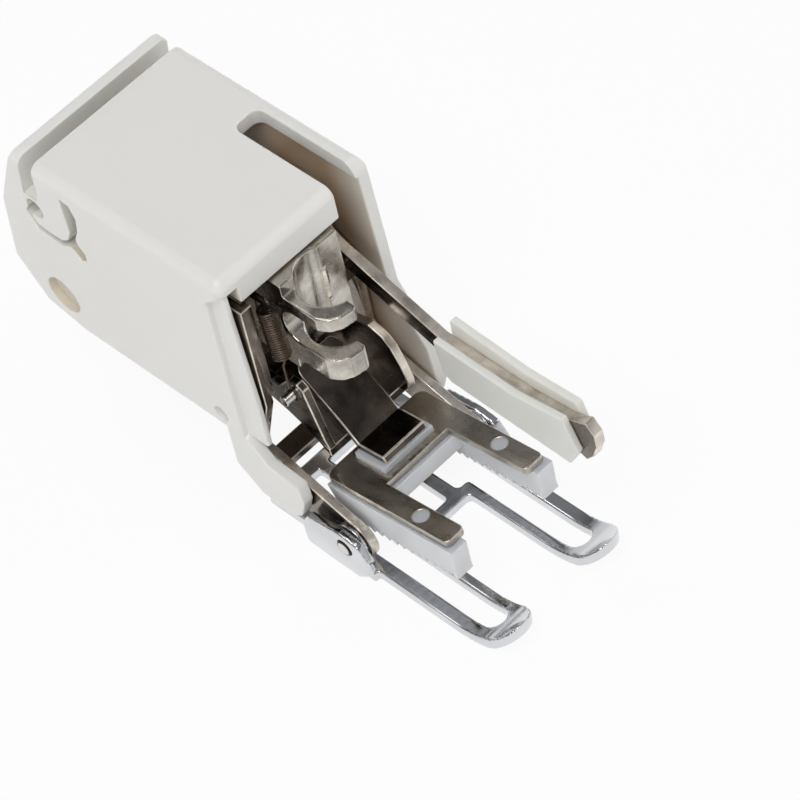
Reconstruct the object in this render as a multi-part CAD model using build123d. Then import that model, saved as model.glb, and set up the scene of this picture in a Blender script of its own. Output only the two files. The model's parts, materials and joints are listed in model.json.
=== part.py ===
from build123d import *
import os
from math import cos, radians, sin

# Even-feed presser foot for a sewing machine. Millimetres, +Z up, -Y towards the user.
# The origin is on the presser bar's axis, at the height of the clamp screw.

# Presser bar clamp
bar_r = 3.65
bar_clear = 0.05
screw_slot_height = 4.9
jaw_wall = 1.25
upper_jaw_top = 4.4
lower_jaw_thick = 3.4
rivet_x = 2.4
rivet_z = -5.4
rivet_r = 0.9
rivet_head_r = 1.5
rivet_head = 0.6
rivet_depth = 3.0
shank_top = 6.2
shank_bottom = -7.6
shank_back = 7.6
shank_front = 2.3
jaw_root_y = 3.2
groove_r = bar_r + bar_clear
groove_relief = 0.15
relief_height = 4.6
shank_half = groove_r + jaw_wall
groove_open_y = groove_r * 0.87
horn_tip_x = -0.7

# Moulded housing
body_width = 24.0
wall = 1.6
top_z = 11.2
top_thick = 2.2
lip_front = 3.9
lip_thick = 2.0
lip_height = 4.7
lip_low_inset = 2.8
lip_reach = 2.9
wall_front = 4.4
recess_depth = 0.8
left_edge_y = 3.5
body_rear = 34.7
bottom_z = -16.4
edge_round = 1.4
skirt_round = 1.1
slot_width = 3.8
slot_rear_y = 19.9
slot_corner = 1.2
hole_depth = 1.1
recess_top = 9.0
channel_r = 1.35
channel_y = 36.2
channel_z = 3.2
channel_gap = 1.9
flange_thick = 1.9
access_hole_r = 2.6
half_width = body_width / 2
inner_half = half_width - wall
slot_outer_x = inner_half - 0.3
slot_inner_x = slot_outer_x - slot_width

# Sheet steel cradle
sheet = 1.2
cradle_gap = 0.2
cradle_outer = inner_half - cradle_gap
cradle_inner = cradle_outer - sheet
cradle_front = 3.2
flange_width = 1.7
cradle_rear = 33.0
cradle_top = 6.0
left_knee_z = -10.2
right_tab_low = -8.8
bridge_low_z = -8.5
bridge_cut_z = -5.0
web_y = 6.5
web_depth = 3.0
web_z = -24.6

# Sole
sole_z = -30.8
sole_thick = 1.4
sole_rear = 7.6
sole_front = -31.0
toe_bend_y = -23.0
toe_bend_r = 12.0
toe_bend = 52.0
rail_outer = cradle_outer + 0.2
rail_width = 1.8
ski_slot = 3.0
inner_rail_width = 1.4
slot_front_y = -27.2
crossbar_y = -10.4
crossbar_depth = 1.5
spine_x = 3.0
spine_width = 1.8
rear_bar_depth = 2.0
corner_round = 0.55
ear_thick = 1.2
ear_r = 2.2
ear_round = 0.5
spacer_thick = 0.5
pin_y = -7.2
pin_z = -26.2
pin_r = 1.1
lug_r = 2.9
run_clear = 0.05

# Lever
lever_y = 16.0
lever_z = 1.6
lever_x = cradle_inner - 1.0
lever_thick = 1.4
lever_hub_r = 3.2
axle_r = 1.25
bush_r = 2.0
bush_flange_r = 2.9
lever_swing = 32.0
crank_reach = 2.9
sheath_wall = 1.0
crank_eye_r = 1.7
lever_tip_line = [(-29.6, -12.2), (-27.0, -11.0), (-21.0, -10.6), (-8.6, -10.0)]

# Feed
feed_pivot_y = 29.0
feed_pivot_z = -11.0
feed_tilt = 8.5
feed_shift = 1.5
feed_top = -25.5
feed_plate_thick = 1.0
feed_half = 8.0
feed_arm = 3.0
feed_rear = 0.5
feed_front = -19.7
feed_crotch = -7.0
tooth_x0 = 5.85
tooth_width = 2.5
tooth_drop = 0.3
tooth_pitch = 1.25
tooth_height = 1.0
shoe_cross_depth = 2.3
boss_y = -14.1
boss_r = 1.0
pad_height = 0.8
tongue_half = 3.4
tongue_front = -5.6
tongue_thick = 1.0
tongue_round = 1.2
carrier_line = [(0.4, -22.9), (6.6, -16.4), (13.0, -14.4)]
floor_thick = 1.2
carrier_half = cradle_inner - 2.7
wing_thick = 1.1
wing_eye_r = 2.2
wing_mid = (lever_y, -12.2)
wing_rear = (feed_pivot_y, feed_pivot_z + wing_eye_r)
link_eye_r = 1.45
link_gap = 0.4
link_thick = 1.6
link_half = 1.2
link_side_gap = 0.2

# Return spring
spring_x = 2.0 - cradle_inner
spring_y = 2.5
spring_r = 0.95
spring_wire = 0.18
spring_turns = 16
spring_gap = 0.16
spring_top = 4.6
post_r = 0.7
rail_r = 0.4
rail_front_y = 0.4
anchor_z = 5.4
horn_y = 2.6
horn_z = -14.4


def box(x0, x1, y0, y1, z0, z1):
    return Pos((x0 + x1) / 2, (y0 + y1) / 2, (z0 + z1) / 2) * Box(x1 - x0, y1 - y0, z1 - z0)


def side_plate(points, x0, x1):
    """A plate with the given outline in Y and Z, from x0 to x1."""
    face = Plane.YZ.offset(x0) * make_face(Polyline(*points, close=True))
    return extrude(face, amount=x1 - x0)


def plan_plate(points, z0, z1):
    """A plate with the given outline in X and Y, from z0 to z1."""
    face = Plane.XY.offset(z0) * make_face(Polyline(*points, close=True))
    return extrude(face, amount=z1 - z0)


def rod_x(radius, x0, x1, y, z):
    return Pos((x0 + x1) / 2, y, z) * Rot(0, 90, 0) * Cylinder(radius, x1 - x0)


def mirrored(shape):
    return mirror(shape, about=Plane.YZ)


def save(shape, node):
    export_step(shape, "parts/" + node + ".step")


# Housing


def housing_outline():
    """Outer outline of a side wall in Y and Z, with its skirt."""
    flange_top = body_rear + channel_gap + flange_thick
    return [
        (wall_front + 1.7, top_z),
        (flange_top - 0.3, top_z),
        (flange_top + 4.0, 1.0),
        (flange_top + 5.2, -9.5),
        (flange_top + 1.2, -15.0),
        (body_rear - 1.2, bottom_z),
        (9.6, bottom_z),
        (9.6, -23.0),
        (6.2, -26.0),
        (1.6, -26.8),
        (-0.6, -25.4),
        (-1.6, -22.6),
        (-0.9, -16.8),
        (1.0, -13.6),
        (wall_front - 0.9, -8.9),
        (wall_front, top_z - 2.6),
        (wall_front + 0.2, top_z - 1.4),
        (wall_front + 0.8, top_z - 0.5),
    ]


def left_front_cut(edge_y, x0, x1):
    """What the left wall lacks in front of the given edge, above its skirt."""
    points = [(-5.0, recess_top), (wall_front, recess_top), (edge_y, recess_top - 2.0), (edge_y, -16.6), (6.4, -16.6),
              (3.6, -19.4), (-1.2, -19.8), (-5.0, -19.8)]
    return side_plate(points, x0, x1)


def channel_cut():
    """The accessory bar's channel, its lead-in groove and the spring tongue beside it."""
    span = body_width + 2
    x0 = -half_width - 1
    groove = side_plate(
        [
            (body_rear, top_z + 1),
            (body_rear + channel_gap, top_z + 1),
            (channel_y + channel_r, channel_z + 1.8),
            (channel_y - channel_r + 0.5, channel_z + 1.8),
            (body_rear, channel_z + 3.6),
        ],
        x0,
        x0 + span,
    )
    seat = rod_x(channel_r, x0, x0 + span, channel_y, channel_z)
    gap = side_plate(
        [
            (channel_y + 1.1, channel_z),
            (channel_y + 2.0, channel_z - 1.5),
            (channel_y + 0.5, channel_z - 3.8),
            (channel_y - 3.3, channel_z - 4.1),
            (channel_y - 5.1, channel_z - 3.2),
            (channel_y - 6.6, channel_z - 4.6),
            (channel_y - 7.6, channel_z - 4.0),
            (channel_y - 7.6, channel_z - 2.8),
            (channel_y - 6.7, channel_z - 1.7),
            (channel_y - 6.6, channel_z - 0.8),
            (channel_y - 7.5, channel_z + 1.1),
            (channel_y - 7.9, channel_z + 3.4),
            (channel_y - 7.3, channel_z + 5.1),
            (channel_y - 5.8, channel_z + 5.3),
            (channel_y - 5.8, channel_z + 2.3),
            (channel_y - 5.9, channel_z - 0.2),
            (channel_y - 5.0, channel_z - 2.2),
            (channel_y - 3.8, channel_z - 3.0),
            (channel_y - 1.8, channel_z - 3.1),
            (channel_y + 0.4, channel_z - 2.9),
            (channel_y + 0.9, channel_z - 1.8),
            (channel_y + 0.5, channel_z - 0.6),
        ],
        x0,
        x0 + span,
    )
    return groove + seat + gap


def make_housing():
    outline = housing_outline()
    flange_top = body_rear + channel_gap + flange_thick
    block = side_plate(outline, -half_width, half_width)
    block = fillet(block.edges().filter_by(Axis.Y).group_by(Axis.Z)[-1], edge_round)
    skirt = block.edges().filter_by(Axis.X).filter_by_position(Axis.Z, -30, -19)
    block = fillet(skirt, skirt_round)
    lip = box(-half_width, slot_inner_x, lip_front, lip_front + 2 * lip_thick, top_z - top_thick, top_z)
    corner = lip.edges().filter_by(Axis.X).group_by(Axis.Y)[0].group_by(Axis.Z)[-1]
    corner += lip.edges().filter_by(Axis.Y).group_by(Axis.X)[0].group_by(Axis.Z)[-1]
    corner += lip.edges().filter_by(Axis.Z).group_by(Axis.X)[0].group_by(Axis.Y)[0]
    lip = fillet(corner, edge_round)
    lip_rear = lip_front + lip_thick
    lip += box(lip_low_inset - half_width, slot_inner_x, lip_front, lip_rear, top_z - lip_height, top_z - edge_round)
    block -= left_front_cut(lip_front + lip_reach, -half_width - 1, -half_width + recess_depth)
    block -= left_front_cut(left_edge_y, -half_width + recess_depth, 0)
    cavity = side_plate(
        [
            (lip_front - 8, top_z - top_thick),
            (body_rear - 9.0, top_z - top_thick),
            (body_rear - 1.4, -2.6),
            (flange_top + 2.6, -2.6),
            (flange_top + 3.0, -9.0),
            (flange_top, -13.4),
            (flange_top, -40.0),
            (lip_front - 8, -40.0),
        ],
        -inner_half,
        inner_half,
    )
    body = block - cavity + lip
    slot = box(slot_inner_x, slot_outer_x, -1, slot_rear_y, top_z - lip_height - 1, top_z + 1)
    slot = fillet(slot.edges().filter_by(Axis.Z).group_by(Axis.Y)[-1], slot_corner)
    body -= slot
    body -= channel_cut()
    body -= rod_x(access_hole_r, -half_width - 1, hole_depth - half_width, 36.0, -11.8)
    body -= rod_x(1.1, -half_width - 1, hole_depth - half_width, 10.0, -14.6)
    return body


# Cradle


def left_side_outline():
    """Outline of the left cradle side, whose front edge is seen beside the spring."""
    return [
        (cradle_front, cradle_top),
        (cradle_front, left_knee_z),
        (web_y - 0.3, -19.4),
        (pin_y, pin_z + lug_r),
        (pin_y, pin_z - lug_r),
        (web_y + 1.0, web_z - 0.2),
        (13.0, -18.6),
        (cradle_rear, -14.2),
        (cradle_rear, -6.0),
        (cradle_rear - 1.6, -4.2),
        (24.0, cradle_top),
    ]


def right_side_outline():
    """Outline of the right cradle side, set back so that it stays behind the lever."""
    return [
        (shank_back, bridge_cut_z),
        (shank_back, right_tab_low),
        (12.0, right_tab_low - 2.0),
        (12.0, -16.6),
        (web_y - 0.3, -19.4),
        (pin_y, pin_z + lug_r),
        (pin_y, pin_z - lug_r),
        (web_y + 1.0, web_z - 0.2),
        (13.0, -18.6),
        (cradle_rear, -14.2),
        (cradle_rear, -6.0),
        (cradle_rear - 1.6, -4.2),
        (24.0, -1.0),
        (lever_y + 3.5, lever_z),
        (lever_y + 1.8, lever_z + 2.4),
        (lever_y - 1.8, lever_z + 2.4),
        (lever_y - 3.0, lever_z + 0.4),
        (10.5, -3.5),
    ]


def cradle_side(outline):
    side = side_plate(outline, cradle_inner, cradle_outer)
    side += rod_x(lug_r, cradle_inner, cradle_outer, pin_y, pin_z)
    side -= rod_x(pin_r, cradle_inner - 1, cradle_outer + 1, pin_y, pin_z)
    race_r = axle_r + run_clear
    side -= box(
        cradle_inner - 1,
        cradle_outer + 1,
        feed_pivot_y - feed_shift,
        feed_pivot_y + feed_shift,
        feed_pivot_z - race_r,
        feed_pivot_z + race_r,
    )
    for end in (-feed_shift, feed_shift):
        side -= rod_x(race_r, cradle_inner - 1, cradle_outer + 1, feed_pivot_y + end, feed_pivot_z)
    return side - rod_x(axle_r, cradle_inner - 1, cradle_outer + 1, lever_y, lever_z)


def make_cradle():
    right = cradle_side(right_side_outline())
    left = mirrored(cradle_side(left_side_outline()))
    left += box(-cradle_outer, flange_width - cradle_outer, cradle_front, cradle_front + sheet, left_knee_z + 1, cradle_top)
    web = box(-cradle_inner, cradle_inner, web_y - web_depth / 2, web_y + web_depth / 2, web_z, web_z + sheet)
    bridge_rear = shank_back + sheet
    bridge_cut_x = carrier_half - 0.4
    bridge = box(-cradle_inner, bridge_cut_x, shank_back, bridge_rear, bridge_low_z, cradle_top)
    bridge += box(bridge_cut_x - 1, cradle_inner, shank_back, bridge_rear, bridge_low_z, bridge_cut_z)
    for x in (-rivet_x, rivet_x):
        bridge -= Pos(x, shank_back, rivet_z) * Rot(90, 0, 0) * Cylinder(rivet_r, 6)
    return right + left + web + bridge


# Shank


def make_shank():
    back = box(-shank_half, shank_half, shank_front, shank_back, shank_bottom, shank_top)
    back -= box(groove_r / 2, shank_half + 1, 0, groove_open_y, shank_bottom - 1, shank_top + 1)
    jaw = plan_plate(
        [
            (-shank_half, jaw_root_y),
            (-shank_half, -2.9),
            (-shank_half + 0.7, -4.2),
            (-3.0, -5.0),
            (horn_tip_x - 0.5, -5.3),
            (horn_tip_x, -4.9),
            (horn_tip_x, jaw_root_y),
        ],
        -screw_slot_height / 2 - lower_jaw_thick,
        upper_jaw_top,
    )
    body = back + jaw
    body -= Cylinder(groove_r, 60)
    body -= Cylinder(groove_r + groove_relief, relief_height)
    slot_r = screw_slot_height / 2
    slot_end_y = jaw_root_y - slot_r
    slot = box(-shank_half - 1, shank_half + 1, -9, slot_end_y, -slot_r, slot_r)
    slot += rod_x(slot_r, -shank_half - 1, shank_half + 1, slot_end_y, 0)
    body -= slot
    for x in (-rivet_x, rivet_x):
        body -= Pos(x, shank_back, rivet_z) * Rot(90, 0, 0) * Cylinder(rivet_r, 2 * rivet_depth)
    return body


def make_shank_rivets():
    head_y = shank_back + sheet
    stem_y = shank_back - rivet_depth
    rivets = []
    for x in (-rivet_x, rivet_x):
        stem = Pos(x, (stem_y + head_y) / 2, rivet_z) * Rot(90, 0, 0) * Cylinder(rivet_r, head_y - stem_y)
        head = Pos(x, head_y + rivet_head / 2, rivet_z) * Rot(90, 0, 0) * Cylinder(rivet_head_r, rivet_head)
        rivets.append(stem + head)
    return Compound(children=rivets)


# Lever


def lever_blade():
    top = [
        (lever_y + 0.5, lever_z + lever_hub_r),
        (11.5, 1.6),
        (7.6, -1.4),
        (-7.9, -6.9),
        (-21.4, -7.3),
        (-27.4, -6.7),
        (-30.4, -5.4),
        (-31.5, -6.8),
        (-31.6, -8.6),
        (-30.8, -10.8),
    ]
    low = [(7.0, -4.4), (lever_y - 0.5, lever_z - lever_hub_r)]
    return side_plate(top + lever_tip_line + low, lever_x - lever_thick / 2, lever_x + lever_thick / 2)


def make_lever_arm():
    x0 = lever_x - lever_thick / 2
    x1 = lever_x + lever_thick / 2
    pin_at = lever_y + crank_reach
    arm = lever_blade()
    arm += rod_x(lever_hub_r, x0, x1, lever_y, lever_z)
    crank = side_plate(
        [
            (lever_y, lever_z + lever_hub_r),
            (pin_at, lever_z + crank_eye_r),
            (pin_at, lever_z - crank_eye_r),
            (lever_y, lever_z - lever_hub_r),
        ],
        x0,
        x1,
    )
    arm += crank + rod_x(crank_eye_r, x0, x1, pin_at, lever_z)
    arm -= rod_x(bush_r, x0 - 1, x1 + 1, lever_y, lever_z)
    arm -= rod_x(post_r, x0 - 1, x1 + 1, pin_at, lever_z)
    return arm


def make_lever_sheath():
    """A folded sheath: a low plate left of the blade, a tall one right of it and a floor under it."""
    x0 = lever_x - lever_thick / 2
    x1 = lever_x + lever_thick / 2
    low = [(-29.4, -10.4), (-27.8, -13.3), (-9.6, -12.4), (-8.4, -11.4)]
    left = side_plate([(-7.8, -6.4), (-20.0, -7.0), (-27.6, -5.8)] + low, x0 - sheath_wall, x0)
    right = side_plate([(-8.6, -4.6), (-20.0, -5.6), (-27.8, -5.2)] + low, x1, x1 + sheath_wall)
    floor = side_plate([lever_tip_line[1], lever_tip_line[3]] + [low[3], low[2], low[1]], x0, x1)
    blade = side_plate([(2.0, 4.0), (-33.0, 4.0), (-33.0, -12.2)] + lever_tip_line + [(2.0, -6.0)], x0, x1)
    return left + right + (floor - blade)


def make_lever_axle():
    end = cradle_outer
    axle = rod_x(axle_r, -end, end, lever_y, lever_z)
    return axle


def make_lever_bush():
    x0 = lever_x - lever_thick / 2
    x1 = lever_x + lever_thick / 2
    bush = rod_x(bush_r, x0, x1, lever_y, lever_z)
    bush += rod_x(bush_flange_r, x1, cradle_inner - run_clear, lever_y, lever_z)
    return bush - rod_x(axle_r + run_clear, x0 - 5, x1 + 1, lever_y, lever_z)


def make_crank_pin():
    x0 = lever_x - lever_thick / 2
    x1 = lever_x + lever_thick / 2
    return rod_x(post_r, x0 - 2.2, x1, lever_y + crank_reach, lever_z)


def link_foot_z():
    """Height of the push link's foot, clear of the lifted carrier wing's top edge."""
    front_y, front_z = lifted_point(*wing_mid)
    rear_y, rear_z = lifted_point(*wing_rear)
    share = (lever_y + crank_reach - front_y) / (rear_y - front_y)
    return front_z + share * (rear_z - front_z) + link_gap


def make_push_link():
    x1 = lever_x - lever_thick / 2 - link_side_gap
    x0 = x1 - link_thick
    y = lever_y + crank_reach
    foot = link_foot_z() + link_half
    link = rod_x(link_eye_r, x0, x1, y, lever_z)
    link += box(x0, x1, y - link_half, y + link_half, foot, lever_z)
    link += rod_x(link_half, x0, x1, y, foot)
    return link - rod_x(post_r + run_clear, x0 - 1, x1 + 1, y, lever_z)


# Feed, drawn pressed down and level, then lifted to the rest position


def lifted(shape):
    pivot = Axis((0, feed_pivot_y, feed_pivot_z), (1, 0, 0))
    return shape.rotate(pivot, -feed_tilt)


def lifted_point(y, z):
    turn = radians(feed_tilt)
    dy = y - feed_pivot_y
    dz = z - feed_pivot_z
    return feed_pivot_y + dy * cos(turn) + dz * sin(turn), feed_pivot_z - dy * sin(turn) + dz * cos(turn)


def make_feed_plate():
    arm_inner = feed_half - feed_arm
    low = feed_top - feed_plate_thick
    plate = plan_plate(
        [
            (-feed_half, feed_rear),
            (-feed_half, feed_front),
            (-arm_inner, feed_front),
            (-arm_inner, feed_crotch),
            (arm_inner, feed_crotch),
            (arm_inner, feed_front),
            (feed_half, feed_front),
            (feed_half, feed_rear),
        ],
        low,
        feed_top,
    )
    plate = fillet(plate.edges().filter_by(Axis.Z).group_by(Axis.Y)[0], 0.7)
    plate = fillet(plate.edges().filter_by(Axis.Z).group_by(Axis.Y)[-1], 1.2)
    plate -= box(-tongue_half - 0.6, tongue_half + 0.6, -5.8, -0.8, low - 1, feed_top + 1)
    for side in (-1, 1):
        plate -= Pos(side * (feed_half - feed_arm / 2), boss_y, feed_top) * Cylinder(boss_r, 4)
    return lifted(plate)


def tooth_row(x0, x1, y0, y1, z_root):
    """Transverse saw teeth along Y, hanging from z_root."""
    count = int((y1 - y0) / tooth_pitch)
    points = [(y0, z_root)]
    for i in range(count):
        start = y0 + i * tooth_pitch
        points.append((start, z_root - tooth_height))
        points.append((start + tooth_pitch, z_root))
    points.append((y0 + count * tooth_pitch, z_root + 0.5))
    points.append((y0, z_root + 0.5))
    return side_plate(points[1:], x0, x1)


def make_feed_teeth():
    low = feed_top - feed_plate_thick
    tip = sole_z - tooth_drop
    root = tip + tooth_height
    x1 = tooth_x0 + tooth_width
    arm = side_plate([(feed_rear - 0.4, low), (feed_rear - 1.6, root), (feed_front - 0.3, root), (feed_front - 0.8, low)],
                     tooth_x0, x1)
    arm += tooth_row(tooth_x0, x1, feed_front - 0.3, feed_rear - 1.8, root)
    boss = Pos(feed_half - feed_arm / 2, boss_y, low + feed_plate_thick / 2) * Cylinder(boss_r, feed_plate_thick)
    arm += boss
    cross = box(-tooth_x0, tooth_x0, feed_crotch - 0.6, feed_rear - 0.6, low - shoe_cross_depth + tooth_height, low)
    cross += tooth_row(-tooth_x0, tooth_x0, feed_crotch - 0.6, feed_rear - 1.0, low - shoe_cross_depth + tooth_height)
    pad = box(-tongue_half - 0.6, tongue_half + 0.6, -5.8, -0.8, low, feed_top + pad_height)
    return lifted(arm + mirrored(arm) + cross + pad)


def make_pressure_tongue():
    """A bent plate that lies on the carrier's floor and presses on the teeth's pad."""
    low_z = feed_top + pad_height
    high_z = low_z + tongue_thick
    low = [(tongue_front, low_z), (-0.9, low_z), carrier_line[0], carrier_line[1]]
    rise = tongue_thick * 1.35
    high = [(y, z + rise) for y, z in reversed(carrier_line[:2])]
    high += [(-1.2, high_z), (tongue_front + 0.3, high_z)]
    tongue = side_plate(low + high, -tongue_half, tongue_half)
    tongue = fillet(tongue.edges().filter_by(Axis.Z).group_by(Axis.Y)[0], tongue_round)
    return lifted(tongue)


def carrier_floor_points():
    """Side outline of the carrier's floor."""
    top = carrier_line + [(feed_pivot_y, feed_pivot_z)]
    return top + [(y, z - floor_thick) for y, z in reversed(top)]


def make_feed_carrier():
    floor = side_plate(carrier_floor_points(), -carrier_half, carrier_half)
    rear = [wing_mid, wing_rear, (feed_pivot_y, feed_pivot_z - wing_eye_r), (13.0, -16.0), (6.0, -19.4), (0.2, -23.0)]
    right_front = [
        (-0.7, -23.0),
        (-1.6, -22.2),
        (-1.9, -21.0),
        (-1.5, -18.4),
        (-0.8, -15.9),
        (0.2, -14.6),
        (2.2, -13.6),
        (5.1, -13.9),
        (8.0, -14.0),
        (11.0, -12.8),
    ]
    left_front = [(0.6, -21.6), (1.4, -14.0), (2.2, -13.2), (3.6, -13.2), (6.0, -15.2), (11.0, -13.6)]
    eye = rod_x(wing_eye_r, carrier_half - wing_thick, carrier_half, feed_pivot_y, feed_pivot_z)
    right = side_plate(right_front + rear, carrier_half - wing_thick, carrier_half) + eye
    left = side_plate(left_front + rear, -carrier_half, wing_thick - carrier_half) + mirrored(eye)
    body = floor + left + right
    body -= rod_x(axle_r + run_clear, -carrier_half - 1, carrier_half + 1, feed_pivot_y, feed_pivot_z)
    body -= box(wing_thick - carrier_half, carrier_half - wing_thick, feed_pivot_y - 3.2, feed_pivot_y + 4, -20, 0)
    body -= rod_x(post_r, -carrier_half - 1, -carrier_half + 3, horn_y, horn_z)
    return lifted(body)


def make_spring_post():
    return lifted(rod_x(post_r, -carrier_half - 2.0, -carrier_half + wing_thick, horn_y, horn_z))


def make_carrier_axle():
    return rod_x(axle_r, -cradle_outer, cradle_outer, feed_pivot_y, feed_pivot_z)


def make_axle_collars():
    collar = rod_x(2.0, carrier_half + 0.1, cradle_inner - 0.1, feed_pivot_y, feed_pivot_z)
    collar -= rod_x(axle_r, 0, cradle_inner + 1, feed_pivot_y, feed_pivot_z)
    return Compound(children=[collar, mirrored(collar)])


def spring_eye(held_r):
    """A wire eye round a pin of the given radius, lying in the XY plane."""
    bore = held_r + run_clear
    return Cylinder(bore + 2 * spring_wire, 2 * spring_wire) - Cylinder(bore, 2 * spring_wire)


def make_return_spring():
    pitch = 2 * spring_wire + spring_gap
    height = pitch * spring_turns
    low = spring_top - height
    path = Helix(pitch, height, spring_r)
    section = Plane(origin=path @ 0, z_dir=path % 0) * Rectangle(2 * spring_wire, 2 * spring_wire)
    spring = Pos(spring_x, spring_y, low) * sweep(section, path=path)
    post_y, post_z = lifted_point(horn_y, horn_z)
    lower_eye = spring_eye(post_r)
    spring += Pos(spring_x, post_y, post_z) * Rot(0, 90, 0) * lower_eye
    spring += Pos(spring_x, spring_y, anchor_z) * Rot(90, 0, 0) * spring_eye(rail_r)
    stem_low = post_z + post_r + run_clear + spring_wire
    stem_z = (stem_low + low) / 2
    spring += Pos(spring_x, spring_y, stem_z) * Box(2 * spring_wire, 2 * spring_wire, low - stem_low + 2 * spring_wire)
    for z in (low, spring_top):
        spring += box(spring_x, spring_x + spring_r, spring_y - spring_wire, spring_y + spring_wire, z - spring_wire, z + spring_wire)
    return spring


def make_spring_anchor():
    return Pos(spring_x, (rail_front_y + shank_back) / 2, anchor_z) * Rot(90, 0, 0) * Cylinder(rail_r, shank_back - rail_front_y)


# Sole


def sole_band():
    """Side section of the sole: a flat strip that turns up at the toe."""
    bend = radians(toe_bend)
    top_r = toe_bend_r - sole_thick
    cy = toe_bend_y
    cz = sole_z + toe_bend_r
    low_end = (cy - toe_bend_r * sin(bend), cz - toe_bend_r * cos(bend))
    top_end = (cy - top_r * sin(bend), cz - top_r * cos(bend))
    low_mid = (cy - toe_bend_r * sin(bend / 2), cz - toe_bend_r * cos(bend / 2))
    top_mid = (cy - top_r * sin(bend / 2), cz - top_r * cos(bend / 2))
    outline = [
        Line((sole_rear, sole_z), (cy, sole_z)),
        ThreePointArc((cy, sole_z), low_mid, low_end),
        Line(low_end, top_end),
        ThreePointArc(top_end, top_mid, (cy, sole_z + sole_thick)),
        Line((cy, sole_z + sole_thick), (sole_rear, sole_z + sole_thick)),
        Line((sole_rear, sole_z + sole_thick), (sole_rear, sole_z)),
    ]
    face = Plane.YZ.offset(-half_width) * make_face(outline)
    return extrude(face, amount=body_width)


def make_sole():
    z0 = sole_z - 1
    z1 = sole_z + 9
    slot_outer = rail_outer - rail_width
    slot_inner = slot_outer - ski_slot
    toe_inner = slot_inner - inner_rail_width
    toe_mid = (rail_outer + toe_inner) / 2
    toe_r = (rail_outer - toe_inner) / 2
    ski = box(toe_inner, rail_outer, sole_front + toe_r, sole_rear, z0, z1)
    ski += Pos(toe_mid, sole_front + toe_r, (z0 + z1) / 2) * Cylinder(toe_r, z1 - z0)
    ski -= box(slot_inner, slot_outer, slot_front_y + 1, sole_rear - rear_bar_depth, z0 - 1, z1 + 1)
    ski -= Pos((slot_inner + slot_outer) / 2, slot_front_y + 1.3, sole_z) * Cylinder(ski_slot / 2, 30)
    ski -= box(toe_inner - 1, slot_inner + 0.01, crossbar_y, sole_rear - rear_bar_depth, z0 - 1, z1 + 1)
    plan = ski + mirrored(ski)
    plan += box(-slot_inner, slot_inner, crossbar_y - crossbar_depth / 2, crossbar_y + crossbar_depth / 2, z0, z1)
    plan += box(-rail_outer, rail_outer, sole_rear - rear_bar_depth, sole_rear, z0, z1)
    for side in (-1, 1):
        x = side * spine_x
        plan += box(x - spine_width / 2, x + spine_width / 2, crossbar_y, sole_rear, z0, z1)
    corners = plan.edges().filter_by(Axis.Z).filter_by_position(Axis.Y, crossbar_y - 1.0, crossbar_y + 1.0)
    plan = fillet(corners, corner_round)
    body = plan & sole_band()
    ear_in = cradle_outer + spacer_thick + run_clear
    ear = side_plate(
        [
            (-0.4, sole_z + 0.6),
            (-0.2, pin_z - 0.6),
            (-1.4, pin_z + 1.4),
            (pin_y + 0.6, pin_z + ear_r),
            (pin_y - 2.4, pin_z + ear_r - 0.4),
            (pin_y - 3.9, pin_z - 0.2),
            (pin_y - 3.6, sole_z + 2.0),
            (pin_y - 1.6, sole_z + 0.4),
        ],
        ear_in,
        ear_in + ear_thick,
    )
    ear = fillet(ear.edges().filter_by(Axis.X), ear_round)
    ear += box(rail_outer - 0.6, ear_in + 0.4, pin_y - 3.4, -1.0, sole_z, sole_z + sole_thick)
    ear -= rod_x(pin_r + run_clear, ear_in - 1, ear_in + ear_thick + 1, pin_y, pin_z)
    return body + ear + mirrored(ear)


def make_sole_pin(side):
    ear_out = cradle_outer + spacer_thick + run_clear + ear_thick
    pin = rod_x(pin_r, cradle_inner, ear_out + 0.1, pin_y, pin_z)
    return pin if side > 0 else mirrored(pin)


def make_sole_spacer(side):
    spacer = rod_x(lug_r - 0.5, cradle_outer, cradle_outer + spacer_thick, pin_y, pin_z)
    spacer -= rod_x(pin_r, cradle_outer - 1, cradle_outer + 2, pin_y, pin_z)
    return spacer if side > 0 else mirrored(spacer)


os.makedirs("parts", exist_ok=True)
save(make_housing(), "housing")
save(make_cradle(), "frame")
save(make_shank(), "shank")
save(make_shank_rivets(), "shank_rivets")
save(make_lever_arm(), "lever_arm")
save(make_lever_sheath(), "lever_sheath")
save(make_lever_axle(), "lever_axle")
save(make_lever_bush(), "lever_bush")
save(make_crank_pin(), "crank_pin")
save(make_push_link(), "push_link")
save(make_feed_plate(), "feed_plate")
save(make_feed_teeth(), "feed_teeth")
save(make_pressure_tongue(), "pressure_tongue")
save(make_feed_carrier(), "feed_carrier")
save(make_spring_post(), "spring_post")
save(make_carrier_axle(), "carrier_axle")
save(make_axle_collars(), "axle_collars")
save(make_return_spring(), "return_spring")
save(make_spring_anchor(), "spring_anchor")
save(make_sole(), "sole")
save(make_sole_pin(-1), "sole_pin_left")
save(make_sole_pin(1), "sole_pin_right")
save(make_sole_spacer(-1), "sole_spacer_left")
save(make_sole_spacer(1), "sole_spacer_right")
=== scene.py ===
import json
import math

import bmesh
import bpy
from mathutils import Matrix, Vector

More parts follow.
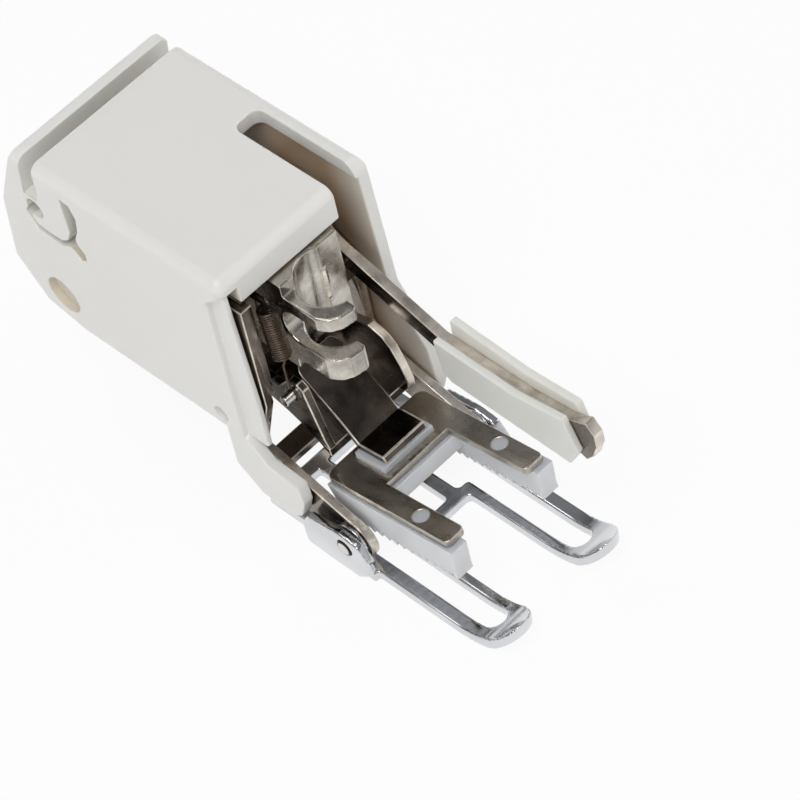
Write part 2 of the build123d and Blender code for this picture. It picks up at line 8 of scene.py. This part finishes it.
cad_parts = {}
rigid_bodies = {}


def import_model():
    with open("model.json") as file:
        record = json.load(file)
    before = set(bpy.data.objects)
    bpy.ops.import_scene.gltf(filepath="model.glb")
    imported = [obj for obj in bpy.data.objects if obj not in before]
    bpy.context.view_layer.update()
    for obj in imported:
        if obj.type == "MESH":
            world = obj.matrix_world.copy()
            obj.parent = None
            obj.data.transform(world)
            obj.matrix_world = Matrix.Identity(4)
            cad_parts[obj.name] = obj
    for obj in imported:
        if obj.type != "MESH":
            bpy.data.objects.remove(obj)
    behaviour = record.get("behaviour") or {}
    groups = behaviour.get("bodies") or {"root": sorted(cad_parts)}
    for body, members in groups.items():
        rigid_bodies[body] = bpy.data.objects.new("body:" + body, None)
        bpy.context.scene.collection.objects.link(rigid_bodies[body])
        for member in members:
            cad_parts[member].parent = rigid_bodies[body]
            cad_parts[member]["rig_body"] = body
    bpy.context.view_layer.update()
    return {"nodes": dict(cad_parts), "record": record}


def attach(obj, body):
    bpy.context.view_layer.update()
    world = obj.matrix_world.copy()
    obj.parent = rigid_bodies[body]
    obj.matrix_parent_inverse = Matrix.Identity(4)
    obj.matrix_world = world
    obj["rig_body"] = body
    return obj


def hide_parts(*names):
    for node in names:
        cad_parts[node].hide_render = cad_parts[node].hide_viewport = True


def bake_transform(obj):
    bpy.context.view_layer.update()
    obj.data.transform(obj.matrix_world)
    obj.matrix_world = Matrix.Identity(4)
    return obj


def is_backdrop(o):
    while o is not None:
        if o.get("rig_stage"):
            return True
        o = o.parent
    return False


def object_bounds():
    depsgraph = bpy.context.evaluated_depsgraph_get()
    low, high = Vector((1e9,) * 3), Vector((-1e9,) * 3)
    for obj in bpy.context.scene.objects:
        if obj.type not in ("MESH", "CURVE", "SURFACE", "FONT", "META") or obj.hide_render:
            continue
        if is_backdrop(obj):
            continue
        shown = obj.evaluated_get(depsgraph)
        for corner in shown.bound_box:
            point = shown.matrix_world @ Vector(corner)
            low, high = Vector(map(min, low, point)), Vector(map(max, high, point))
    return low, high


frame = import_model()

nodes = frame["nodes"]
mm = 0.001


# Node helpers


def new_material(name):
    material = bpy.data.materials.new(name)
    material.use_nodes = True
    tree = material.node_tree
    tree.nodes.clear()
    shader = tree.nodes.new("ShaderNodeBsdfPrincipled")
    output = tree.nodes.new("ShaderNodeOutputMaterial")
    tree.links.new(shader.outputs["BSDF"], output.inputs["Surface"])
    return material, tree, shader


def place(tree, scale):
    """Object coordinates, stretched by a scale for each axis."""
    coord = tree.nodes.new("ShaderNodeTexCoord")
    mapping = tree.nodes.new("ShaderNodeMapping")
    mapping.inputs["Scale"].default_value = scale
    tree.links.new(coord.outputs["Object"], mapping.inputs["Vector"])
    return mapping.outputs["Vector"]


def noise(tree, vector, scale, detail, roughness=0.5):
    node = tree.nodes.new("ShaderNodeTexNoise")
    node.inputs["Scale"].default_value = scale
    node.inputs["Detail"].default_value = detail
    node.inputs["Roughness"].default_value = roughness
    tree.links.new(vector, node.inputs["Vector"])
    return node.outputs["Fac"]


def ramp(tree, value, stops):
    node = tree.nodes.new("ShaderNodeValToRGB")
    elements = node.color_ramp.elements
    while len(elements) < len(stops):
        elements.new(0.5)
    for element, (position, color) in zip(elements, stops):
        element.position = position
        element.color = (*color, 1)
    tree.links.new(value, node.inputs["Fac"])
    return node.outputs["Color"]


def spread(tree, value, low, high, from_low=0.3, from_high=0.7):
    node = tree.nodes.new("ShaderNodeMapRange")
    node.inputs["From Min"].default_value = from_low
    node.inputs["From Max"].default_value = from_high
    node.inputs["To Min"].default_value = low
    node.inputs["To Max"].default_value = high
    tree.links.new(value, node.inputs["Value"])
    return node.outputs["Result"]


def bump(tree, shader, value, strength, distance):
    node = tree.nodes.new("ShaderNodeBump")
    node.inputs["Strength"].default_value = strength
    node.inputs["Distance"].default_value = distance
    tree.links.new(value, node.inputs["Height"])
    tree.links.new(node.outputs["Normal"], shader.inputs["Normal"])


# Materials


# Painted shade inside the housing: none near the front edge, full further back, measured along a line
# that leans with the front edge.
front_edge_slope = -0.2
unshaded_until, full_shade_from = 2.8 * mm, 9.0 * mm


def make_moulded(name, light, dark, rough, subsurface, painted_shade=None):
    """Glossy moulded plastic: tone drift, grain and flow marks, and, where a shade colour is given,
    painted shade that deepens further back from the front edge.
    """
    material, tree, shader = new_material(name)
    vector = place(tree, (1, 1, 1))
    color = ramp(tree, noise(tree, vector, 60.0, 2.0), [(0.3, dark), (0.7, light)])
    # Painted shade: the colour is mixed towards the dark brown further back from the front edge, where
    # shade falls inside the housing.
    if painted_shade:
        split = tree.nodes.new("ShaderNodeSeparateXYZ")
        tree.links.new(vector, split.inputs["Vector"])
        mix = tree.nodes.new("ShaderNodeMix")
        mix.data_type = "RGBA"
        mix.inputs["A"].default_value = (*painted_shade, 1)
        back = tree.nodes.new("ShaderNodeMath")
        back.operation = "MULTIPLY_ADD"
        back.inputs[1].default_value = front_edge_slope
        tree.links.new(split.outputs["Z"], back.inputs[0])
        tree.links.new(split.outputs["Y"], back.inputs[2])
        share = spread(tree, back.outputs[0], 1.0, 0.0, unshaded_until, full_shade_from)
        tree.links.new(share, mix.inputs["Factor"])
        tree.links.new(color, mix.inputs["B"])
        color = mix.outputs["Result"]
    tree.links.new(color, shader.inputs["Base Color"])
    smear = noise(tree, place(tree, (0.4, 1, 1)), 350.0, 4.0)
    tree.links.new(spread(tree, smear, rough - 0.02, rough + 0.03), shader.inputs["Roughness"])
    bump(tree, shader, noise(tree, vector, 900.0, 3.0), 0.06, 0.05 * mm)
    shader.inputs["Subsurface Weight"].default_value = subsurface
    shader.inputs["Subsurface Radius"].default_value = (2.0 * mm, 1.5 * mm, 1.0 * mm)
    shader.inputs["Subsurface Scale"].default_value = 1.0
    shader.inputs["IOR"].default_value = 1.5
    return material


def make_metal(name, light, dark, rough, stretch=(1, 1, 1), drift_scale=120.0, lines=0.1, blotch=0.1):
    """Plated metal: blotchy tone, rolled or cast texture and fine scratches."""
    material, tree, shader = new_material(name)
    tone = noise(tree, place(tree, (1, 1, 1)), drift_scale, 5.0, 0.6)
    tree.links.new(ramp(tree, tone, [(0.32, dark), (0.68, light)]), shader.inputs["Base Color"])
    streak = noise(tree, place(tree, stretch), 700.0, 4.0)
    tree.links.new(spread(tree, streak, rough - blotch, rough + blotch), shader.inputs["Roughness"])
    bump(tree, shader, streak, lines, 0.05 * mm)
    shader.inputs["Metallic"].default_value = 1.0
    return material


def make_translucent(name, color, rough):
    """Milky translucent plastic."""
    material, tree, shader = new_material(name)
    cloud = noise(tree, place(tree, (1, 1, 1)), 250.0, 3.0)
    pale = tuple(min(1.0, c * 1.06) for c in color)
    tree.links.new(ramp(tree, cloud, [(0.3, color), (0.7, pale)]), shader.inputs["Base Color"])
    tree.links.new(spread(tree, cloud, rough - 0.06, rough + 0.06), shader.inputs["Roughness"])
    bump(tree, shader, noise(tree, place(tree, (1, 1, 1)), 1800.0, 2.0), 0.06, 0.04 * mm)
    shader.inputs["Subsurface Weight"].default_value = 0.6
    shader.inputs["Subsurface Radius"].default_value = (2.5 * mm, 2.5 * mm, 2.5 * mm)
    shader.inputs["Subsurface Scale"].default_value = 1.0
    shader.inputs["IOR"].default_value = 1.45
    return material


materials = {
    "white_plastic": make_moulded("white_plastic", (0.87, 0.86, 0.825), (0.85, 0.84, 0.80), 0.32, 0.08),
    # The next two plastics are painted shade: warm brown tones for the shade inside the housing,
    # darkening further back, and in the recesses of its left wall.
    "inner_plastic_painted_shade": make_moulded(
        "inner_plastic_painted_shade", (0.86, 0.82, 0.74), (0.83, 0.79, 0.70), 0.45, 0.05, painted_shade=(0.50, 0.36, 0.24)
    ),
    "recess_plastic_painted_shade": make_moulded("recess_plastic_painted_shade", (0.76, 0.70, 0.60), (0.72, 0.66, 0.56), 0.45, 0.05),
    "sheath_plastic": make_moulded("sheath_plastic", (0.87, 0.865, 0.82), (0.82, 0.81, 0.755), 0.36, 0.3),
    "tooth_plastic": make_translucent("tooth_plastic", (0.74, 0.755, 0.775), 0.35),
    "tooth_boss": make_translucent("tooth_boss", (0.50, 0.52, 0.55), 0.4),
    # Painted shade: a near-black steel for a part and for pin rims that sit in shadow.
    "shadow_steel": make_metal("shadow_steel", (0.05, 0.04, 0.035), (0.02, 0.017, 0.015), 0.4),
    "nickel_sheet": make_metal(
        "nickel_sheet", (0.26, 0.22, 0.185), (0.10, 0.08, 0.068), 0.2, (1, 0.25, 1)
    ),
    # Painted highlight: a bright nickel for the broken edges and rims of the sheet parts, where light
    # catches them.
    "painted_edge_highlight": make_metal(
        "painted_edge_highlight", (0.84, 0.78, 0.70), (0.52, 0.465, 0.40), 0.33, (1, 0.3, 1), 500.0, 0.35
    ),
    "cast_nickel": make_metal(
        "cast_nickel", (0.66, 0.625, 0.565), (0.36, 0.33, 0.295), 0.22, drift_scale=260.0, lines=0.3
    ),
    "rivet_steel": make_metal("rivet_steel", (0.62, 0.60, 0.57), (0.50, 0.48, 0.45), 0.25),
    "pin_steel": make_metal("pin_steel", (0.68, 0.67, 0.65), (0.52, 0.51, 0.49), 0.22, (0.2, 1, 1)),
    "dark_plate": make_metal(
        "dark_plate", (0.16, 0.135, 0.115), (0.05, 0.041, 0.036), 0.22, (1, 0.3, 1), 160.0
    ),
    "feed_nickel": make_metal(
        "feed_nickel", (0.60, 0.555, 0.495), (0.33, 0.295, 0.255), 0.3, (1, 0.3, 1)
    ),
    "spring_steel": make_metal(
        "spring_steel", (0.13, 0.095, 0.072), (0.06, 0.043, 0.034), 0.24, drift_scale=600.0
    ),
    "sole_chrome": make_metal(
        "sole_chrome", (0.74, 0.75, 0.77), (0.60, 0.61, 0.63), 0.12, (1, 0.3, 1), 90.0, 0.06, 0.06
    ),
}


# Pieces


slot_of = {part["node"]: part["material_slot"] for part in frame["record"]["subparts"]}
# Painted shade: the spring's anchor is coloured near black, where it sits in the shadow under the lip.
painted_shade_nodes = {"spring_anchor": "shadow_steel"}
weld_reach = 0.002 * mm
plane_angle = math.radians(0.6)
ridge_angle = math.radians(32.0)
blend_angle = math.radians(52.0)


def finish_node(node):
    """Gives a CAD node its detailed material."""
    source = nodes[node]
    if not source.material_slots:
        source.data.materials.append(None)
    for entry in source.material_slots:
        entry.link = "OBJECT"
        entry.material = materials[painted_shade_nodes.get(node, slot_of[node])]


def copied(node, name):
    """A new object with a welded, plane-faced copy of a CAD node's mesh, standing for that node."""
    source = nodes[node]
    mesh = bpy.data.meshes.new(name)
    body = bmesh.new()
    body.from_mesh(source.data)
    bmesh.ops.remove_doubles(body, verts=body.verts, dist=weld_reach)
    bmesh.ops.dissolve_limit(body, angle_limit=plane_angle, verts=body.verts, edges=body.edges)
    body.to_mesh(mesh)
    body.free()
    piece = bpy.data.objects.new(name, mesh)
    bpy.context.scene.collection.objects.link(piece)
    mesh.materials.append(materials[slot_of[node]])
    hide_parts(node)
    return piece


def apply_modifiers(piece):
    """Turns the modifiers of a piece into its mesh."""
    graph = bpy.context.evaluated_depsgraph_get()
    finished = bpy.data.meshes.new_from_object(piece.evaluated_get(graph))
    piece.modifiers.clear()
    piece.data = finished


def mark_ridges(mesh):
    """Weights the sharp outward edges, which are the ones that wear and get broken."""
    body = bmesh.new()
    body.from_mesh(mesh)
    layer = body.edges.layers.float.new("bevel_weight_edge")
    for edge in body.edges:
        if edge.is_manifold and edge.is_convex and edge.calc_face_angle() > ridge_angle:
            edge[layer] = 1.0
    body.to_mesh(mesh)
    body.free()


def even_normals(mesh):
    """Flat faces stay flat and the narrow strips beside them blend: normals weighted by face area."""
    least = math.cos(blend_angle)
    around = [[] for _ in mesh.vertices]
    for face in mesh.polygons:
        face.use_smooth = True
        for vertex in face.vertices:
            around[vertex].append((face.normal.copy(), face.area))
    normals = []
    for face in mesh.polygons:
        for vertex in face.vertices:
            total = Vector((0, 0, 0))
            for normal, area in around[vertex]:
                if normal.dot(face.normal) > least:
                    total += normal * area
            normals.append(total.normalized() if total.length > 0 else face.normal)
    mesh.normals_split_custom_set(normals)


def keep_in_box(piece, node):
    """Brings every point of a finished copy back inside the box of the node that it stands for."""
    source = [nodes[node].matrix_world @ v.co for v in nodes[node].data.vertices]
    low = [min(p[i] for p in source) for i in range(3)]
    high = [max(p[i] for p in source) for i in range(3)]
    for vertex in piece.data.vertices:
        vertex.co = [min(max(vertex.co[i], low[i]), high[i]) for i in range(3)]


def softened(node, width, segments=2, edge=None):
    """The node with its sharp outward edges broken; where edge names a material, the broken edges take
    it, which paints a highlight or a shade on them.
    """
    piece = copied(node, node + "_softened")
    mark_ridges(piece.data)
    bevel = piece.modifiers.new("edge_break", "BEVEL")
    bevel.width = width * mm
    bevel.segments = segments
    bevel.limit_method = "WEIGHT"
    bevel.use_clamp_overlap = False
    bevel.miter_outer = "MITER_ARC"
    if edge:
        piece.data.materials.append(materials[edge])
        bevel.material = 1
    apply_modifiers(piece)
    keep_in_box(piece, node)
    even_normals(piece.data)
    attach(piece, nodes[node]["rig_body"])
    return piece


def paint_rim_highlights(piece, low_x, left_top=math.inf):
    """Paints a highlight on the rims of upright sheet beyond low_x, on the left only below left_top, with
    the second material.
    """
    for face in piece.data.polygons:
        x, z = face.center.x / mm, face.center.z / mm
        if abs(face.normal.x) < 0.6 and (x > low_x or (x < -low_x and z < left_top)):
            face.material_index = 1


def shift_points(piece, chosen, axis, value):
    """Moves the chosen points of a copy to one place along an axis, in millimetres."""
    for vertex in piece.data.vertices:
        if chosen(*(c / mm for c in vertex.co)):
            vertex.co[axis] = value * mm


def paint_inner_shade(piece):
    """Paints shade on the housing's inside walls and ceiling, deeper further back, and a warmer painted
    shade in the recesses of its left wall.
    """
    inner_x, top_underside = 10.6, 9.1
    lip_back, lip_low, ceiling_low = 3.4, 4.0, 5.0
    facing = 0.7
    piece.data.materials.append(materials["inner_plastic_painted_shade"])
    piece.data.materials.append(materials["recess_plastic_painted_shade"])
    for face in piece.data.polygons:
        x, y, z = (c / mm for c in face.center)
        # Painted shade in the recesses of the left wall.
        if -11.9 < x < -10.4 and 28 < y < 41 and -15.5 < z < 8.5:
            face.material_index = 2
        inside = abs(x) < inner_x and z < top_underside
        lip = y < lip_back and z > lip_low
        ceiling = face.normal.z < -facing and z > ceiling_low
        # Painted shade on the inner side walls and the ceiling, leaving the lip white.
        if inside and not lip and (abs(face.normal.x) > facing or ceiling):
            face.material_index = 1


def grey_bosses(piece):
    """Gives the tops of the moulded bosses and of the pad, which stand above the plate, a greyer tone."""
    standing = 1.6 * mm
    piece.data.materials.append(materials["tooth_boss"])
    highest = max(vertex.co.z for vertex in piece.data.vertices)
    for face in piece.data.polygons:
        if face.center.z > highest - standing:
            face.material_index = 1


def clear_bore(piece):
    """Takes the clamp's relief out of the half-round seat, where only a fine line of it would show."""
    seat_r, relief_r, relief_half = 3.7 * mm, 3.95 * mm, 2.45 * mm
    for vertex in piece.data.vertices:
        far = math.hypot(vertex.co.x, vertex.co.y)
        if far < relief_r and abs(vertex.co.z) < relief_half:
            vertex.co.x *= seat_r / far
            vertex.co.y *= seat_r / far


def cast(node, voxel, rounds):
    """The node with the soft corners of a casting."""
    piece = copied(node, node + "_cast")
    remesh = piece.modifiers.new("skin", "REMESH")
    remesh.mode = "VOXEL"
    remesh.voxel_size = voxel * mm
    relax = piece.modifiers.new("relax", "SMOOTH")
    relax.factor = 0.5
    relax.iterations = rounds
    apply_modifiers(piece)
    keep_in_box(piece, node)
    smooth(piece)
    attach(piece, nodes[node]["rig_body"])
    return piece


def smooth(piece):
    for face in piece.data.polygons:
        face.use_smooth = True


def right_leg_front(x, y, z):
    """Whether a point of the frame is on the right leg's front edge, which is seen further forward."""
    return x > 8 and 11.7 < y < 12.4 and -17 < z < -10


for node in nodes:
    finish_node(node)

clear_bore(cast("shank", 0.13, 6))
cast("sole", 0.17, 8)
# The housing's inside walls, ceiling and left-wall recesses get painted shade.
paint_inner_shade(softened("housing", 0.22, 3))
# The sheet parts get a painted highlight on their broken edges and on chosen rims.
frame_copy = softened("frame", 0.14, edge="painted_edge_highlight")
paint_rim_highlights(frame_copy, 8.9, left_top=-17.0)
shift_points(frame_copy, right_leg_front, 1, 7.4)
paint_rim_highlights(softened("lever_arm", 0.12, edge="painted_edge_highlight"), 0.0)
paint_rim_highlights(softened("feed_carrier", 0.16, 3, edge="painted_edge_highlight"), 5.2, left_top=-math.inf)
softened("lever_sheath", 0.2)
softened("feed_plate", 0.12, edge="painted_edge_highlight")
grey_bosses(softened("feed_teeth", 0.06))
softened("pressure_tongue", 0.2, 3, edge="painted_edge_highlight")
for node in ("sole_spacer_left", "sole_spacer_right"):
    softened(node, 0.12)
# Painted shade: the pins' broken rims take the near-black steel, a dark ring around each head.
for node in ("sole_pin_left", "sole_pin_right"):
    softened(node, 0.24, 3, edge="shadow_steel")
softened("spring_post", 0.15, 3)


coil_x, coil_y, coil_low, coil_high = -7.0, 2.5, -3.7, 4.75
coil_r, wire_r, coil_turns = 1.03, 0.155, 21
coil_lean = 0.25
eye_z, eye_r = 5.4, 0.62
post_y, post_z, hook_r = 2.39, -10.46, 0.92


def coil_line():
    """The points along the wire, in millimetres, from the lower hook to the upper eye."""
    around = 18
    steps = coil_turns * around
    line = []
    for i in range(steps + 1):
        turn = 2 * math.pi * i / around
        z = coil_low + (coil_high - coil_low) * i / steps
        lean = coil_lean * (coil_low + coil_high - 2 * z) / (coil_high - coil_low)
        line.append((coil_x + lean + coil_r * math.cos(turn), coil_y + coil_r * math.sin(turn), z))
    for i in range(1, 15):
        turn = math.radians(-60 + 24 * i)
        x = coil_x + 0.3 * math.cos(turn) * (1 - i / 15)
        line.append((x, coil_y + eye_r * math.cos(turn), eye_z + eye_r * math.sin(turn)))
    tail = [
        (coil_x + coil_r, coil_y, coil_low - 0.25),
        (coil_x + 0.5, coil_y, coil_low - 0.9),
        (coil_x, coil_y, coil_low - 1.6),
        (coil_x, coil_y - 0.1, -8.9),
    ]
    for i in range(16):
        turn = math.radians(80 - 22 * i)
        y = post_y + hook_r * math.cos(turn)
        tail.append((coil_x + 0.02 * i, y, post_z + hook_r * math.sin(turn)))
    return list(reversed(tail)) + line


def make_coil():
    """The close-wound return spring with its two hooks, on one line of wire."""
    line = coil_line()
    curve = bpy.data.curves.new("return_coil_line", "CURVE")
    curve.dimensions = "3D"
    curve.bevel_depth = wire_r * mm
    curve.bevel_resolution = 2
    curve.use_fill_caps = True
    spline = curve.splines.new("POLY")
    spline.points.add(len(line) - 1)
    for point, at in zip(spline.points, line):
        point.co = (*(c * mm for c in at), 1)
    wound = bpy.data.objects.new("return_coil_line", curve)
    bpy.context.scene.collection.objects.link(wound)
    graph = bpy.context.evaluated_depsgraph_get()
    mesh = bpy.data.meshes.new_from_object(wound.evaluated_get(graph))
    bpy.data.objects.remove(wound)
    coil = bpy.data.objects.new("return_coil", mesh)
    bpy.context.scene.collection.objects.link(coil)
    mesh.materials.clear()
    mesh.materials.append(materials["spring_steel"])
    smooth(coil)
    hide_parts("return_spring")
    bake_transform(coil)


make_coil()


# Floor, light and camera


def make_floor():
    """A pale paper floor just under the object."""
    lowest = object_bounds()[0].z
    bpy.ops.mesh.primitive_plane_add(size=4.0, location=(0, 0, lowest - 0.02 * mm))
    floor = bpy.context.object
    floor.name = "floor"
    material, tree, shader = new_material("floor_paper")
    grain = noise(tree, place(tree, (1, 1, 1)), 900.0, 2.0)
    paper = ramp(tree, grain, [(0.3, (0.93, 0.93, 0.93)), (0.7, (0.95, 0.95, 0.95))])
    tree.links.new(paper, shader.inputs["Base Color"])
    shader.inputs["Roughness"].default_value = 0.9
    shader.inputs["Specular IOR Level"].default_value = 0.0
    floor.data.materials.append(material)
    floor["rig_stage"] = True
    return floor


def lift_white(floor, share):
    """Lets rays that see the floor directly or in a reflection find it nearly white."""
    tree = floor.data.materials[0].node_tree
    shader = next(n for n in tree.nodes if n.type == "BSDF_PRINCIPLED")
    output = next(n for n in tree.nodes if n.type == "OUTPUT_MATERIAL")
    path = tree.nodes.new("ShaderNodeLightPath")
    seen = tree.nodes.new("ShaderNodeMath")
    seen.operation = "MAXIMUM"
    tree.links.new(path.outputs["Is Camera Ray"], seen.inputs[0])
    tree.links.new(path.outputs["Is Glossy Ray"], seen.inputs[1])
    amount = tree.nodes.new("ShaderNodeMath")
    amount.operation = "MULTIPLY"
    amount.inputs[1].default_value = share
    tree.links.new(seen.outputs[0], amount.inputs[0])
    white = tree.nodes.new("ShaderNodeEmission")
    white.inputs["Color"].default_value = (1, 1, 1, 1)
    mix = tree.nodes.new("ShaderNodeMixShader")
    tree.links.new(amount.outputs[0], mix.inputs["Fac"])
    tree.links.new(shader.outputs["BSDF"], mix.inputs[1])
    tree.links.new(white.outputs["Emission"], mix.inputs[2])
    tree.links.new(mix.outputs["Shader"], output.inputs["Surface"])


def make_world():
    """A soft grey room, brighter low down, which the camera sees as white."""
    world = bpy.data.worlds.new("studio")
    bpy.context.scene.world = world
    world.use_nodes = True
    tree = world.node_tree
    tree.nodes.clear()
    output = tree.nodes.new("ShaderNodeOutputWorld")
    coord = tree.nodes.new("ShaderNodeTexCoord")
    split = tree.nodes.new("ShaderNodeSeparateXYZ")
    tree.links.new(coord.outputs["Generated"], split.inputs["Vector"])
    height = spread(tree, split.outputs["Z"], 0.0, 1.0, -0.1, 1.0)
    stops = [
        (0.0, (0.9, 0.9, 0.9)),
        (0.3, (0.75, 0.75, 0.75)),
        (0.55, (0.12, 0.12, 0.125)),
        (1.0, (0.28, 0.28, 0.29)),
    ]
    room = tree.nodes.new("ShaderNodeBackground")
    tree.links.new(ramp(tree, height, stops), room.inputs["Color"])
    white = tree.nodes.new("ShaderNodeBackground")
    white.inputs["Color"].default_value = (1, 1, 1, 1)
    path = tree.nodes.new("ShaderNodeLightPath")
    mix = tree.nodes.new("ShaderNodeMixShader")
    tree.links.new(path.outputs["Is Camera Ray"], mix.inputs["Fac"])
    tree.links.new(room.outputs["Background"], mix.inputs[1])
    tree.links.new(white.outputs["Background"], mix.inputs[2])
    tree.links.new(mix.outputs["Shader"], output.inputs["Surface"])


def add_softbox(name, azimuth, elevation, distance, size, power):
    """A square lamp aimed at the object, at an azimuth and elevation in degrees."""
    a, e = math.radians(azimuth), math.radians(elevation)
    away = Vector((math.sin(a) * math.cos(e), -math.cos(a) * math.cos(e), math.sin(e)))
    data = bpy.data.lights.new(name, "AREA")
    data.shape = "SQUARE"
    data.size = size
    data.energy = power
    lamp = bpy.data.objects.new(name, data)
    lamp.location = away * distance
    lamp.rotation_mode = "QUATERNION"
    lamp.rotation_quaternion = (-away).to_track_quat("-Z", "Y")
    bpy.context.scene.collection.objects.link(lamp)


def make_camera():
    """A long lens that looks down at the front left of the object."""
    azimuth, elevation, roll = math.radians(-35.6), math.radians(49.5), math.radians(-13.49)
    target = Vector((-3.783, -13.263, -2.945)) * mm
    distance = 438.1 * mm
    away = Vector((
        math.sin(azimuth) * math.cos(elevation),
        -math.cos(azimuth) * math.cos(elevation),
        math.sin(elevation),
    ))
    flat_right = (-away).cross(Vector((0, 0, 1))).normalized()
    flat_up = flat_right.cross(-away)
    right = flat_right * math.cos(roll) + flat_up * math.sin(roll)
    up = flat_up * math.cos(roll) - flat_right * math.sin(roll)
    data = bpy.data.cameras.new("camera")
    data.sensor_width = 36.0
    data.lens = 180.0
    data.clip_start = 0.01
    data.clip_end = 20.0
    camera = bpy.data.objects.new("camera", data)
    camera.matrix_world = Matrix((right, up, away)).transposed().to_4x4()
    camera.location = target + away * distance
    bpy.context.scene.collection.objects.link(camera)
    bpy.context.scene.camera = camera


lift_white(make_floor(), 0.92)
make_world()
add_softbox("key", -60, 62, 0.9, 0.5, 4.0)
add_softbox("fill", 60, 35, 1.1, 0.6, 1.4)
add_softbox("rear", 170, 68, 1.0, 0.35, 1.0)
make_camera()
bpy.context.scene.view_settings.view_transform = "Standard"
